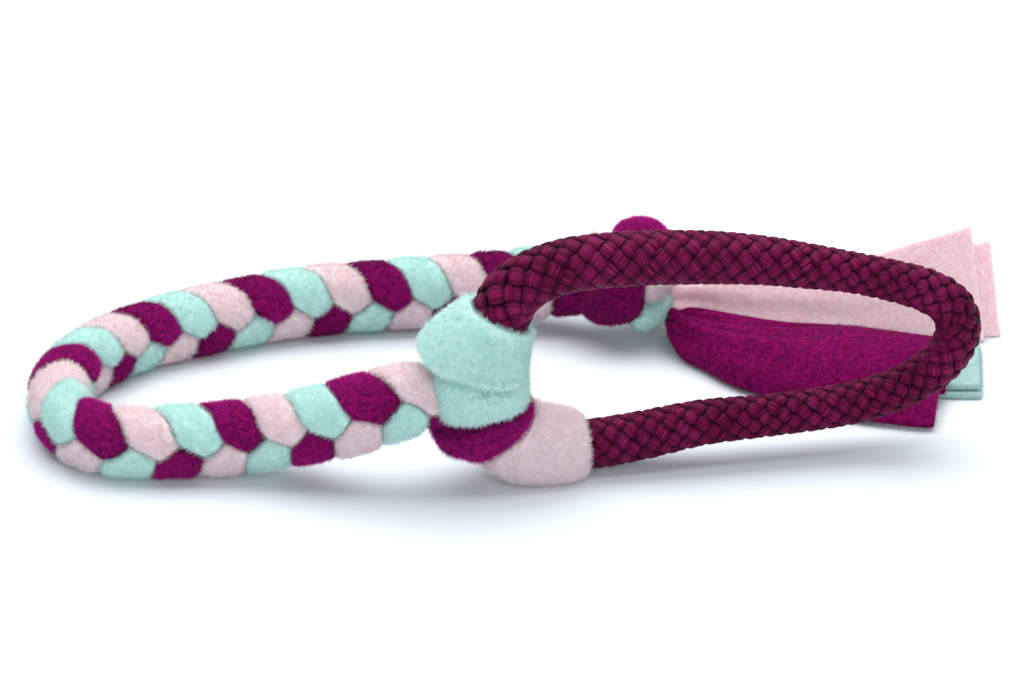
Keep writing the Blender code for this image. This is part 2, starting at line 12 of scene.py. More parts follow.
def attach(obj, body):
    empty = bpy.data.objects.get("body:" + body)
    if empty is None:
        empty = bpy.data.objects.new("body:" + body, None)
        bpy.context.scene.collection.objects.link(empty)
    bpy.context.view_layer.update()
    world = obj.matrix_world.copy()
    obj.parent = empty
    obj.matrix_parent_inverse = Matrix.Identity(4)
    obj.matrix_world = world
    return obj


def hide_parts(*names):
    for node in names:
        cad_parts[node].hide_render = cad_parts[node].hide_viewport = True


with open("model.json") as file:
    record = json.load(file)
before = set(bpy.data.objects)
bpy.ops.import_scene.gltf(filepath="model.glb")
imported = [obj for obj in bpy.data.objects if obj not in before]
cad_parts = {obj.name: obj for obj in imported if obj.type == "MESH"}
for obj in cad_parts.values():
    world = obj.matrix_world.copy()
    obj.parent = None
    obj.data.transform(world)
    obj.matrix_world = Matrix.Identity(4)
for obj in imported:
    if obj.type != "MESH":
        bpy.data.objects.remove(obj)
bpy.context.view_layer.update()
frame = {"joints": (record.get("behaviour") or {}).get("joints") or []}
joints = {joint["name"]: joint for joint in frame["joints"]}
neck = np.array([joints["handle_swing"]["pos_m"][0], joints["handle_swing"]["pos_m"][1], 0.0])
up = np.array([0.0, 0.0, 1.0])
floorLift = 0.0002
tiny = 1e-6


# Lines and surfaces

def unit(vectors):
    return vectors / np.linalg.norm(vectors, axis=-1, keepdims=True)


def smoothLine(points, steps=8, closed=False):
    # Catmull-Rom curve through the points
    points = np.asarray(points, float)
    if closed:
        padded = np.vstack([points[-1:], points, points[:2]])
    else:
        padded = np.vstack([2 * points[0] - points[1], points, 2 * points[-1] - points[-2]])
    line = []
    for i in range(len(padded) - 3):
        a, b, c, d = padded[i:i + 4]
        for t in np.arange(steps) / steps:
            line.append(0.5 * (2 * b + (c - a) * t + (2 * a - 5 * b + 4 * c - d) * t ** 2
                               + (3 * b - a - 3 * c + d) * t ** 3))
    if not closed:
        line.append(points[-1])
    return np.array(line)


def runOf(line):
    return np.concatenate([[0.0], np.cumsum(np.linalg.norm(np.diff(line[:, :3], axis=0), axis=1))])


def along(line, distances):
    run = runOf(line)
    return np.stack([np.interp(distances, run, column) for column in line.T], axis=1)


def evenly(line, spacing):
    length = runOf(line)[-1]
    return along(line, np.linspace(0.0, length, max(3, round(length / spacing) + 1)))


def tangentsOf(line):
    return unit(np.gradient(line, axis=0))


def carriedFrames(line):
    # two directions square to the line, carried along it without twist
    heading = tangentsOf(line)
    side = np.cross(up, heading[0])
    first = []
    for direction in heading:
        side = side - direction * np.dot(side, direction)
        side = side / np.linalg.norm(side)
        first.append(side)
    first = np.array(first)
    return first, np.cross(heading, first)


def blurred(values, passes, own=0.4, beside=0.15):
    # rounds a table of radii along its rows and round its columns
    for _ in range(passes):
        around = np.roll(values, 1, axis=1) + np.roll(values, -1, axis=1)
        ends = np.vstack([values[:1], values, values[-1:]])
        values = own * values + beside * around + beside * (ends[:-2] + ends[2:])
    return values


def unevenness(points, scale, depth, seed, spread=(1.0, 2.7, -1.3)):
    # smooth random relief, in metres
    shift = Vector([share * seed for share in spread])
    flat = points.reshape(-1, 3)
    made = [noise.noise(Vector(p) / scale + shift) for p in flat]
    return depth * np.array(made).reshape(points.shape[:-1])


mergeWithin = 1e-7


def skin(name, points, roundAcross=False, roundAlong=False, crest=None):
    # a grid wrapped over rows of points, closed where it meets itself; "nap" is the way its pile is combed
    rows, columns = points.shape[:2]
    bm = bmesh.new()
    bm.loops.layers.uv.new("cloth")
    # a layer for painted shade, used on the rope's yarns; other pieces get 1, full colour
    yarnShadeLayer = bm.verts.layers.float.new("crest")
    xCells, yCells = rows - 1 + roundAlong, columns - 1 + roundAcross
    bmesh.ops.create_grid(bm, x_segments=xCells, y_segments=yCells, size=0.5, calc_uvs=True)
    longWay = runOf(points[:, 0])[-1]
    wideWay = runOf(points[rows // 2])[-1]
    cloth = bm.loops.layers.uv.active
    for face in bm.faces:
        for loop in face.loops:
            loop[cloth].uv = ((loop.vert.co.x + 0.5) * longWay, (loop.vert.co.y + 0.5) * wideWay)
    for vert in bm.verts:
        i = round((vert.co.x + 0.5) * xCells) % rows
        j = round((vert.co.y + 0.5) * yCells) % columns
        vert.co = points[i, j]
        vert[yarnShadeLayer] = 1.0 if crest is None else crest[i, j]
    if roundAcross or roundAlong:
        bmesh.ops.remove_doubles(bm, verts=bm.verts[:], dist=mergeWithin)
    if roundAcross and not roundAlong:
        bmesh.ops.holes_fill(bm, edges=[e for e in bm.edges if e.is_boundary], sides=0)
    bmesh.ops.recalc_face_normals(bm, faces=bm.faces[:])
    if crest is None:
        nap = bm.verts.layers.float_vector.new("nap")
        steps = np.gradient(points, axis=0).reshape(-1, 3)
        tree = KDTree(rows * columns)
        for index, place in enumerate(points.reshape(-1, 3)):
            tree.insert(place, index)
        tree.balance()
        for vert in bm.verts:
            vert[nap] = steps[tree.find(vert.co)[1]]
    mesh = bpy.data.meshes.new(name)
    bm.to_mesh(mesh)
    bm.free()
    mesh.shade_smooth()
    piece = bpy.data.objects.new(name, mesh)
    bpy.context.scene.collection.objects.link(piece)
    return piece


# Finishes

def addNode(tree, kind, **values):
    node = tree.nodes.new(kind)
    for key, value in values.items():
        setattr(node, key, value)
    return node


pileLook = dict(
    cloud=560.0, cloudDetail=3.0, cloudRange=(0.38, 0.66), cloudHeight=0.7,
    fleck=1500.0, fleckDetail=3.0, fleckRoughness=0.7, fleckRange=(0.5, 0.72),
    streak=(190.0, 1700.0, 1.0), streakDetail=2.0, streakRange=(0.52, 0.7),
)


def makePileGroup():
    # brushed pile: cloudy tone, flecks and stretch lines, painted shade on the surface and the fibre roots
    # and a painted highlight on the fibre tips, used by every fleece
    group = bpy.data.node_groups.new("brushedPile", "ShaderNodeTree")
    face = group.interface
    for name in ("Body", "Deep", "Pale"):
        face.new_socket(name, in_out="INPUT", socket_type="NodeSocketColor")
    for name in ("Flecks", "Stretch", "Root", "Tip"):
        face.new_socket(name, in_out="INPUT", socket_type="NodeSocketFloat")
    face.new_socket("Color", in_out="OUTPUT", socket_type="NodeSocketColor")
    face.new_socket("Height", in_out="OUTPUT", socket_type="NodeSocketFloat")
    inside = addNode(group, "NodeGroupInput")
    outside = addNode(group, "NodeGroupOutput")
    place = addNode(group, "ShaderNodeTexCoord")
    cloud = addNode(group, "ShaderNodeTexNoise")
    cloud.inputs["Scale"].default_value = pileLook["cloud"]
    cloud.inputs["Detail"].default_value = pileLook["cloudDetail"]
    fleck = addNode(group, "ShaderNodeTexNoise")
    fleck.inputs["Scale"].default_value = pileLook["fleck"]
    fleck.inputs["Detail"].default_value = pileLook["fleckDetail"]
    fleck.inputs["Roughness"].default_value = pileLook["fleckRoughness"]
    weft = addNode(group, "ShaderNodeAttribute", attribute_name="cloth")
    grow = addNode(group, "ShaderNodeMapping")
    grow.inputs["Scale"].default_value = pileLook["streak"]
    streak = addNode(group, "ShaderNodeTexNoise")
    streak.inputs["Scale"].default_value = 1.0
    streak.inputs["Detail"].default_value = pileLook["streakDetail"]
    group.links.new(place.outputs["Object"], cloud.inputs["Vector"])
    group.links.new(place.outputs["Object"], fleck.inputs["Vector"])
    group.links.new(weft.outputs["Vector"], grow.inputs["Vector"])
    group.links.new(grow.outputs["Vector"], streak.inputs["Vector"])

    def spread(source, name):
        ramp = addNode(group, "ShaderNodeMapRange")
        ramp.inputs["From Min"].default_value, ramp.inputs["From Max"].default_value = pileLook[name]
        group.links.new(source, ramp.inputs["Value"])
        return ramp.outputs["Result"]

    def mixed(amount, first, second, factor=None):
        mix = addNode(group, "ShaderNodeMix", data_type="RGBA")
        if factor is not None:
            scaled = addNode(group, "ShaderNodeMath", operation="MULTIPLY")
            group.links.new(amount, scaled.inputs[0])
            group.links.new(factor, scaled.inputs[1])
            amount = scaled.outputs[0]
        group.links.new(amount, mix.inputs["Factor"])
        group.links.new(first, mix.inputs["A"])
        group.links.new(second, mix.inputs["B"])
        return mix.outputs["Result"]

    cloudy = mixed(spread(cloud.outputs["Fac"], "cloudRange"), inside.outputs["Deep"],
                   inside.outputs["Body"])
    flecked = mixed(spread(fleck.outputs["Fac"], "fleckRange"), cloudy, inside.outputs["Pale"],
                    inside.outputs["Flecks"])
    lined = mixed(spread(streak.outputs["Fac"], "streakRange"), flecked, inside.outputs["Deep"],
                  inside.outputs["Stretch"])
    # painted shade: the surface and the fibre roots are darkened by the root share
    rootShaded = addNode(group, "ShaderNodeVectorMath", operation="SCALE")
    group.links.new(lined, rootShaded.inputs[0])
    group.links.new(inside.outputs["Root"], rootShaded.inputs["Scale"])
    # painted highlight: the fibre tips are mixed towards the pale tone
    tipHighlighted = mixed(inside.outputs["Tip"], lined, inside.outputs["Pale"])
    tip = addNode(group, "ShaderNodeAttribute", attribute_name="tip")
    finished = mixed(tip.outputs["Fac"], rootShaded.outputs[0], tipHighlighted)
    group.links.new(finished, outside.inputs["Color"])
    total = addNode(group, "ShaderNodeMath", operation="MULTIPLY_ADD")
    total.inputs[1].default_value = pileLook["cloudHeight"]
    group.links.new(cloud.outputs["Fac"], total.inputs[0])
    group.links.new(fleck.outputs["Fac"], total.inputs[2])
    group.links.new(total.outputs[0], outside.inputs["Height"])
    return group


pileGroup = makePileGroup()

# body, deep and pale tones; flecks, stretch lines, root shade and tip highlight as shares; sheen; light let
# in
fleeceTones = {
    "mint": dict(body=(0.69, 0.95, 0.915, 1), deep=(0.53, 0.84, 0.78, 1), pale=(0.92, 1.0, 0.99, 1),
                 flecks=0.6, stretch=0.35, root=0.96, tip=0.6, sheen=0.6, sheenTint=(0.9, 1.0, 1.0, 1),
                 soft=0.6),
    "magenta": dict(body=(0.38, 0.0025, 0.155, 1), deep=(0.12, 0.001, 0.05, 1), pale=(0.80, 0.03, 0.44, 1),
                    flecks=0.6, stretch=0.3, root=0.55, tip=0.6, sheen=0.16,
                    sheenTint=(1.0, 0.35, 0.75, 1), soft=0.0),
    "pink": dict(body=(0.95, 0.83, 0.85, 1), deep=(0.88, 0.68, 0.71, 1), pale=(0.99, 0.97, 0.975, 1),
                 flecks=0.6, stretch=0.6, root=0.97, tip=0.6, sheen=0.6, sheenTint=(1.0, 0.97, 0.98, 1),
                 soft=0.6),
    # the tail tones are the strand tones changed for the tails' light: mint much darker, magenta and pink
    # deeper; painted shade for tails lying in the shade of the rope and the other strips
    "mintTail": dict(body=(0.45, 0.67, 0.64, 1), deep=(0.36, 0.58, 0.54, 1), pale=(0.62, 0.80, 0.78, 1),
                     flecks=0.4, stretch=0.1, root=0.86, tip=0.4, sheen=0.3, sheenTint=(0.9, 1.0, 1.0, 1),
                     soft=0.4),
    "magentaTail": dict(body=(0.35, 0.0025, 0.143, 1), deep=(0.15, 0.001, 0.06, 1),
                        pale=(0.62, 0.04, 0.34, 1), flecks=0.45, stretch=0.1, root=0.62, tip=0.5,
                        sheen=0.12, sheenTint=(1.0, 0.35, 0.75, 1), soft=0.0),
    "pinkTail": dict(body=(1.0, 0.77, 0.82, 1), deep=(0.97, 0.62, 0.68, 1), pale=(1.0, 0.91, 0.93, 1),
                     flecks=0.5, stretch=0.25, root=0.93, tip=0.5, sheen=0.8, sheenTint=(1.0, 0.97, 0.98, 1),
                     soft=0.1),
}


fleeceLook = dict(bump=0.5, bumpDepth=0.0006, roughness=1.0, specular=0.03, sheenRoughness=0.3,
                  softRadius=(1.0, 0.8, 0.8), softDepth=0.0035)


def fleeceFinish(name, tone):
    material = bpy.data.materials.new(name)
    material.use_nodes = True
    tree = material.node_tree
    shader = tree.nodes["Principled BSDF"]
    pile = addNode(tree, "ShaderNodeGroup", node_tree=pileGroup)
    for key in ("Body", "Deep", "Pale", "Flecks", "Stretch", "Root", "Tip"):
        pile.inputs[key].default_value = tone[key.lower()]
    bump = addNode(tree, "ShaderNodeBump")
    bump.inputs["Strength"].default_value = fleeceLook["bump"]
    bump.inputs["Distance"].default_value = fleeceLook["bumpDepth"]
    tree.links.new(pile.outputs["Color"], shader.inputs["Base Color"])
    tree.links.new(pile.outputs["Height"], bump.inputs["Height"])
    tree.links.new(bump.outputs["Normal"], shader.inputs["Normal"])
    shader.inputs["Roughness"].default_value = fleeceLook["roughness"]
    shader.inputs["Specular IOR Level"].default_value = fleeceLook["specular"]
    shader.inputs["Sheen Weight"].default_value = tone["sheen"]
    shader.inputs["Sheen Roughness"].default_value = fleeceLook["sheenRoughness"]
    shader.inputs["Subsurface Weight"].default_value = tone["soft"]
    shader.inputs["Subsurface Radius"].default_value = fleeceLook["softRadius"]
    shader.inputs["Subsurface Scale"].default_value = fleeceLook["softDepth"]
    shader.inputs["Sheen Tint"].default_value = tone["sheenTint"]
    return material


fleece = {name: fleeceFinish(name + "Fleece", tone) for name, tone in fleeceTones.items()}


ropeTones = {
    "burgundyYarn": ((0.130, 0.0012, 0.043, 1), (0.045, 0.0004, 0.014, 1), (0.30, 0.014, 0.115, 1)),
    # the core's near-black tones are painted shade for the gaps between the yarns
    "burgundyCore": ((0.02, 0.001, 0.008, 1), (0.01, 0.001, 0.004, 1), (0.04, 0.004, 0.015, 1)),
}
ropeLook = dict(filaments=(40.0, 4600.0, 1.0), detail=2.0, deepAt=0.34, bodyAt=0.5, paleAt=0.70,
                bump=0.8, bumpDepth=0.0003, roughness=0.5, specular=0.06)


def ropeFinish(name):
    # bright filaments laid along each yarn, and painted shade that darkens it where it dives and on its
    # underside
    body, deep, pale = ropeTones[name]
    material = bpy.data.materials.new(name)
    material.use_nodes = True
    tree = material.node_tree
    shader = tree.nodes["Principled BSDF"]
    place = addNode(tree, "ShaderNodeTexCoord")
    grow = addNode(tree, "ShaderNodeMapping")
    grow.inputs["Scale"].default_value = ropeLook["filaments"]
    strands = addNode(tree, "ShaderNodeTexNoise")
    strands.inputs["Scale"].default_value = 1.0
    strands.inputs["Detail"].default_value = ropeLook["detail"]
    tree.links.new(place.outputs["UV"], grow.inputs["Vector"])
    tree.links.new(grow.outputs["Vector"], strands.inputs["Vector"])
    tones = addNode(tree, "ShaderNodeValToRGB")
    tones.color_ramp.elements[0].position = ropeLook["deepAt"]
    tones.color_ramp.elements[0].color = deep
    tones.color_ramp.elements[1].position = ropeLook["paleAt"]
    tones.color_ramp.elements[1].color = pale
    middle = tones.color_ramp.elements.new(ropeLook["bodyAt"])
    middle.color = body
    tree.links.new(strands.outputs["Fac"], tones.inputs["Fac"])
    # the painted shade scales the yarn's tones
    crest = addNode(tree, "ShaderNodeAttribute", attribute_name="crest")
    shadedTones = addNode(tree, "ShaderNodeVectorMath", operation="SCALE")
    tree.links.new(tones.outputs["Color"], shadedTones.inputs[0])
    tree.links.new(crest.outputs["Fac"], shadedTones.inputs["Scale"])
    tree.links.new(shadedTones.outputs[0], shader.inputs["Base Color"])
    bump = addNode(tree, "ShaderNodeBump")
    bump.inputs["Strength"].default_value = ropeLook["bump"]
    bump.inputs["Distance"].default_value = ropeLook["bumpDepth"]
    tree.links.new(strands.outputs["Fac"], bump.inputs["Height"])
    tree.links.new(bump.outputs["Normal"], shader.inputs["Normal"])
    shader.inputs["Roughness"].default_value = ropeLook["roughness"]
    shader.inputs["Specular IOR Level"].default_value = ropeLook["specular"]
    return material


# Fuzz: short loose fibres scattered over a fleece piece

fuzz = dict(length=0.0018, width=0.00014, lie=0.74, rise=0.70, shortest=0.4, longest=1.2,
            clump=650.0, clumpLean=(1.0, 0.6, 3.0), looseLean=(0.4, 0.4, 0.7))


def makeFibre():
    # one triangle with its tip raised
    bm = bmesh.new()
    tip = bm.verts.layers.float.new("tip")
    bmesh.ops.create_circle(bm, segments=3, radius=0.5, cap_ends=True)
    corners = ((0.0, fuzz["lie"], fuzz["rise"]), (-0.5, 0.0, 0.0), (0.5, 0.0, 0.0))
    for vert, corner in zip(bm.verts, corners):
        vert.co = (corner[0] * fuzz["width"], corner[1] * fuzz["length"], corner[2] * fuzz["length"])
        # 1 at the fibre tip, where the painted highlight goes; 0 at the root, where the painted shade goes
        vert[tip] = 1.0 if corner[2] > 0 else 0.0
    mesh = bpy.data.meshes.new("fibre")
    bm.to_mesh(mesh)
    bm.free()
    fibre = bpy.data.objects.new("fibre", mesh)
    bpy.context.scene.collection.objects.link(fibre)
    return fibre


def makeFuzzTree(fibre):
    # fibres lean together in small clumps, which gives the cloth its nubs
    tree = bpy.data.node_groups.new("looseFuzz", "GeometryNodeTree")
    face = tree.interface
    face.new_socket("Geometry", in_out="INPUT", socket_type="NodeSocketGeometry")
    face.new_socket("Density", in_out="INPUT", socket_type="NodeSocketFloat")
    face.new_socket("Seed", in_out="INPUT", socket_type="NodeSocketInt")
    face.new_socket("Size", in_out="INPUT", socket_type="NodeSocketFloat")
    face.new_socket("Geometry", in_out="OUTPUT", socket_type="NodeSocketGeometry")
    source = addNode(tree, "NodeGroupInput")
    result = addNode(tree, "NodeGroupOutput")
    scatter = addNode(tree, "GeometryNodeDistributePointsOnFaces")
    plant = addNode(tree, "GeometryNodeInstanceOnPoints")
    info = addNode(tree, "GeometryNodeObjectInfo")
    info.inputs["Object"].default_value = fibre
    size = addNode(tree, "FunctionNodeRandomValue")
    size.inputs[2].default_value = fuzz["shortest"]
    size.inputs[3].default_value = fuzz["longest"]
    scaled = addNode(tree, "ShaderNodeMath", operation="MULTIPLY")
    turn = addNode(tree, "FunctionNodeRandomValue", data_type="FLOAT_VECTOR")
    turn.inputs[0].default_value = tuple(-angle for angle in fuzz["looseLean"])
    turn.inputs[1].default_value = fuzz["looseLean"]
    nap = addNode(tree, "GeometryNodeInputNamedAttribute", data_type="FLOAT_VECTOR")
    nap.inputs["Name"].default_value = "nap"
    comb = addNode(tree, "FunctionNodeAlignRotationToVector", axis="Y", pivot_axis="Z")
    place = addNode(tree, "GeometryNodeInputPosition")
    clump = addNode(tree, "ShaderNodeTexNoise")
    clump.inputs["Scale"].default_value = fuzz["clump"]
    clump.inputs["Detail"].default_value = 0.0
    centred = addNode(tree, "ShaderNodeVectorMath", operation="SUBTRACT")
    centred.inputs[1].default_value = (0.5, 0.5, 0.5)
    lean = addNode(tree, "ShaderNodeVectorMath", operation="MULTIPLY")
    lean.inputs[1].default_value = fuzz["clumpLean"]
    both = addNode(tree, "ShaderNodeVectorMath", operation="ADD")
    sway = addNode(tree, "GeometryNodeRotateInstances")
    real = addNode(tree, "GeometryNodeRealizeInstances")
    link = tree.links.new
    link(source.outputs["Geometry"], scatter.inputs["Mesh"])
    link(source.outputs["Density"], scatter.inputs["Density"])
    link(source.outputs["Seed"], scatter.inputs["Seed"])
    link(scatter.outputs["Points"], plant.inputs["Points"])
    link(scatter.outputs["Rotation"], comb.inputs["Rotation"])
    link(nap.outputs["Attribute"], comb.inputs["Vector"])
    link(comb.outputs["Rotation"], plant.inputs["Rotation"])
    link(info.outputs["Geometry"], plant.inputs["Instance"])
    link(size.outputs[1], scaled.inputs[0])
    link(source.outputs["Size"], scaled.inputs[1])
    link(scaled.outputs[0], plant.inputs["Scale"])
    link(plant.outputs["Instances"], sway.inputs["Instances"])
    link(place.outputs[0], clump.inputs["Vector"])
    link(clump.outputs["Color"], centred.inputs[0])
    link(centred.outputs[0], lean.inputs[0])
    link(lean.outputs[0], both.inputs[0])
    link(turn.outputs[0], both.inputs[1])
    link(both.outputs[0], sway.inputs["Rotation"])
    link(sway.outputs["Instances"], real.inputs["Geometry"])
    link(real.outputs["Geometry"], result.inputs["Geometry"])
    return tree


fibre = makeFibre()
fuzzTree = makeFuzzTree(fibre)


def applied(piece):
    bpy.context.view_layer.update()
    graph = bpy.context.evaluated_depsgraph_get()
    return bpy.data.meshes.new_from_object(piece.evaluated_get(graph), depsgraph=graph)


def settled(piece, material):
    # applies the piece's modifiers and gives it its one material
    piece.data = applied(piece)
    piece.modifiers.clear()
    piece.data.materials.clear()
    piece.data.materials.append(material)


def brush(piece, material, density, seed, size, suffix="Pile"):
    # raises a pile of loose fibres on a piece, as a piece of its own, and keeps them off the floor
    pile = bpy.data.objects.new(piece.name + suffix, piece.data)
    bpy.context.scene.collection.objects.link(pile)
    raised = pile.modifiers.new("looseFuzz", "NODES")
    raised.node_group = fuzzTree
    sockets = {item.name: item.identifier for item in fuzzTree.interface.items_tree
               if item.in_out == "INPUT"}
    raised[sockets["Density"]] = float(density)
    raised[sockets["Seed"]] = seed
    raised[sockets["Size"]] = float(size)
    made = applied(pile)
    pile.modifiers.clear()
    pile.data = made
    made.materials.clear()
    made.materials.append(material)
    made.shade_flat()
    spots = np.zeros(3 * len(made.vertices), dtype=np.float32)
    made.vertices.foreach_get("co", spots)
    spots[2::3] = np.maximum(spots[2::3], floorLift)
    made.vertices.foreach_set("co", spots)
    return pile


# Plait and knot

plait = dict(
    reach=0.122, spread=0.114, neckHeight=0.0345, pitch=0.043, strandReach=0.0062,
    strandLift=0.0038, strandRadius=0.0104, halfHeight=0.0127, halfWidth=0.0108, corner=2.2,
    soften=9.0, restRadius=0.0067, gap=0.0003, startDegrees=66.0, floorFlat=0.0005,
    ringSpacing=0.0011, sides=48, blur=1, middleSpacing=0.0006, lineSpacing=0.002, halvings=14,
    leastReach=0.0015, thinnest=0.0002, bendShare=0.9, reliefScale=0.0045, reliefDepth=0.00035,
    ridgeRates=(9, 30), ridgeDepth=0.00016, seedStep=3.1, fuzzDensity=5.2e6,
    fuzzSizes=(1.12, 0.9, 1.12),
)
# across reach, across spread, rise to the neck, size of the plait, stretch of its pitch
plaitShares = [
    (0.120, 0.000, 1.02, 0.45, 1.15), (0.040, 0.000, 0.98, 0.66, 1.15), (-0.030, 0.000, 0.90, 0.88, 1.15),
    (-0.085, 0.004, 0.77, 0.96, 1.15), (-0.184, 0.012, 0.54, 0.98, 1.10), (-0.334, 0.036, 0.27, 0.94, 1.02),
    (-0.490, 0.056, 0.09, 0.93, 1.05), (-0.640, 0.056, 0.01, 0.92, 1.05), (-0.761, 0.054, 0.00, 0.90, 1.05),
    (-0.855, 0.080, 0.00, 0.89, 1.05), (-0.930, 0.145, 0.00, 0.88, 1.06), (-0.984, 0.250, 0.00, 0.88, 1.03),
    (-1.000, 0.370, 0.00, 0.88, 0.99), (-0.968, 0.490, 0.00, 0.88, 0.92), (-0.900, 0.605, 0.00, 0.89, 0.90),
    (-0.791, 0.707, 0.00, 0.91, 0.91), (-0.631, 0.800, 0.00, 0.93, 0.97), (-0.467, 0.875, 0.00, 0.95, 1.02),
    (-0.300, 0.928, 0.00, 0.96, 1.01), (-0.126, 0.955, 0.00, 0.97, 1.00), (0.038, 0.972, 0.03, 0.97, 1.01),
    (0.205, 0.977, 0.10, 0.97, 1.02), (0.349, 0.960, 0.24, 0.97, 1.02), (0.476, 0.937, 0.38, 0.97, 1.02),
]
knot = dict(length=0.028, turnRadius=0.0143, halfWide=0.0092, halfDeep=0.0062, core=0.0086,
            centreShares=(0.578, 0.912, 0.43), yawDegrees=-4.0, start=-0.50, gather=0.24, exit=0.446,
            domeShare=0.16, pinchAt=-0.45, pinchWide=0.0022, pinchDeep=0.30, giveWay=3)
# each strand through the knot: ahead of its centre, out from its axis, degrees round it
knotShares = [
    [(-0.22, 0.42, 95), (0.02, 0.40, 70), (0.24, 0.66, 22), (0.40, 0.90, 2)],
    [(-0.30, 0.72, -42), (-0.08, 0.98, 0), (0.00, 1.00, 50), (0.07, 1.00, 100), (0.14, 1.00, 150),
     (0.21, 1.00, 200), (0.30, 0.86, 235), (0.40, 0.62, 250)],
    [(-0.24, 0.36, -95), (0.00, 0.34, -75), (0.22, 0.72, -60), (0.38, 1.04, -58)],
]
restHeight = plait["strandReach"] + plait["restRadius"] - plait["floorFlat"]
knotCentre = neck + np.array([
    knot["centreShares"][0] * plait["reach"],
    knot["centreShares"][1] * plait["spread"],
    restHeight + knot["centreShares"][2] * (plait["neckHeight"] - restHeight),
])
knotExit = knotCentre[0] + knot["exit"] * knot["length"]
yaw = math.radians(knot["yawDegrees"])
knotAxis = np.array([math.cos(yaw), math.sin(yaw), 0.0])


def plaitMiddle():
    # the middle line with the plait's size and phase along it
    points = [[*(neck + (x * plait["reach"], y * plait["spread"],
                         size * restHeight + z * (plait["neckHeight"] - restHeight))), size, stretch]
              for x, y, z, size, stretch in plaitShares]
    middle = evenly(smoothLine(points), plait["middleSpacing"])
    run = runOf(middle)
    turns = 1 / (plait["pitch"] * middle[:, 4])
    phase = np.concatenate([[0.0], np.cumsum(np.diff(run) * (turns[1:] + turns[:-1]) / 2)])
    phase = phase - phase[int(np.argmin(np.linalg.norm(middle[:, :2] - neck[:2], axis=1)))]
    return middle[:, :3], middle[:, 3], math.tau * phase + math.radians(plait["startDegrees"])


def plaitedLine(order):
    # one strand of the plait: a sine across it, and one of twice the rate through it
    middle, size, phase = plaitMiddle()
    phase = phase - order * math.tau / 3
    heading = tangentsOf(middle)
    left = unit(np.cross(up, heading))
    over = np.cross(heading, left)
    across = plait["strandReach"] * size * np.sin(phase)
    through = plait["strandLift"] * size * np.sin(2 * phase)
    return middle + over * across[:, None] + left * through[:, None]


def knottedLine(shares):
    # one strand through the knot
    back = np.cross(up, knotAxis)
    points = []
    for ahead, out, degrees in shares:
        angle = math.radians(degrees)
        radial = -math.cos(angle) * back + math.sin(angle) * up
        points.append(knotCentre + ahead * knot["length"] * knotAxis
                      + out * knot["turnRadius"] * radial)
    return np.array(points)


def strandLine(order):
    # the plait's last points give way to the knot's
    line = evenly(plaitedLine(order), plait["lineSpacing"])
    line = np.vstack([line[:-knot["giveWay"]], knottedLine(knotShares[order])])
    return evenly(smoothLine(line, steps=4), plait["ringSpacing"])


def strandLimits(line, wide, deep):
    # how far a ring may swell: in the plait to its rounded outline, in the knot to its own size
    offset = line - knotCentre
    ahead = offset @ knotAxis
    radial = offset - ahead[:, None] * knotAxis
    inside = np.clip((ahead / knot["length"] - knot["start"]) / knot["gather"], 0.0, 1.0)
    inside = inside * (np.linalg.norm(offset, axis=1) < 2 * knot["length"])
    halfWide = plait["strandRadius"] + (wide - plait["strandRadius"]) * inside
    halfDeep = plait["strandRadius"] + (deep - plait["strandRadius"]) * inside
    return halfWide, halfDeep, unit(radial), inside


def outlineReach(place, outs, inside):
    # distance from a place to the plait's outline, a rounded box round its middle line
    middle, size, _ = plaitMiddle()
    heading = tangentsOf(middle)
    left = unit(np.cross(up, heading))
    reach = np.empty(outs.shape[:2])
    for i in range(len(place)):
        near = int(np.argmin(np.linalg.norm(middle - place[i], axis=1)))
        over = np.cross(heading[near], left[near])
        axes = np.stack([left[near] / plait["halfWidth"], over / plait["halfHeight"]]) / size[near]
        start, step = axes @ (place[i] - middle[near]), outs[i] @ axes.T
        low, high = np.zeros(outs.shape[1]), np.full(outs.shape[1], 2 * plait["halfHeight"])
        for _ in range(plait["halvings"]):
            half = (low + high) / 2
            beyond = np.sum(np.abs(start + step * half[:, None]) ** plait["corner"], axis=1) > 1
            low, high = np.where(beyond, low, half), np.where(beyond, half, high)
        reach[i] = low
    return np.maximum(reach + inside[:, None], plait["leastReach"])


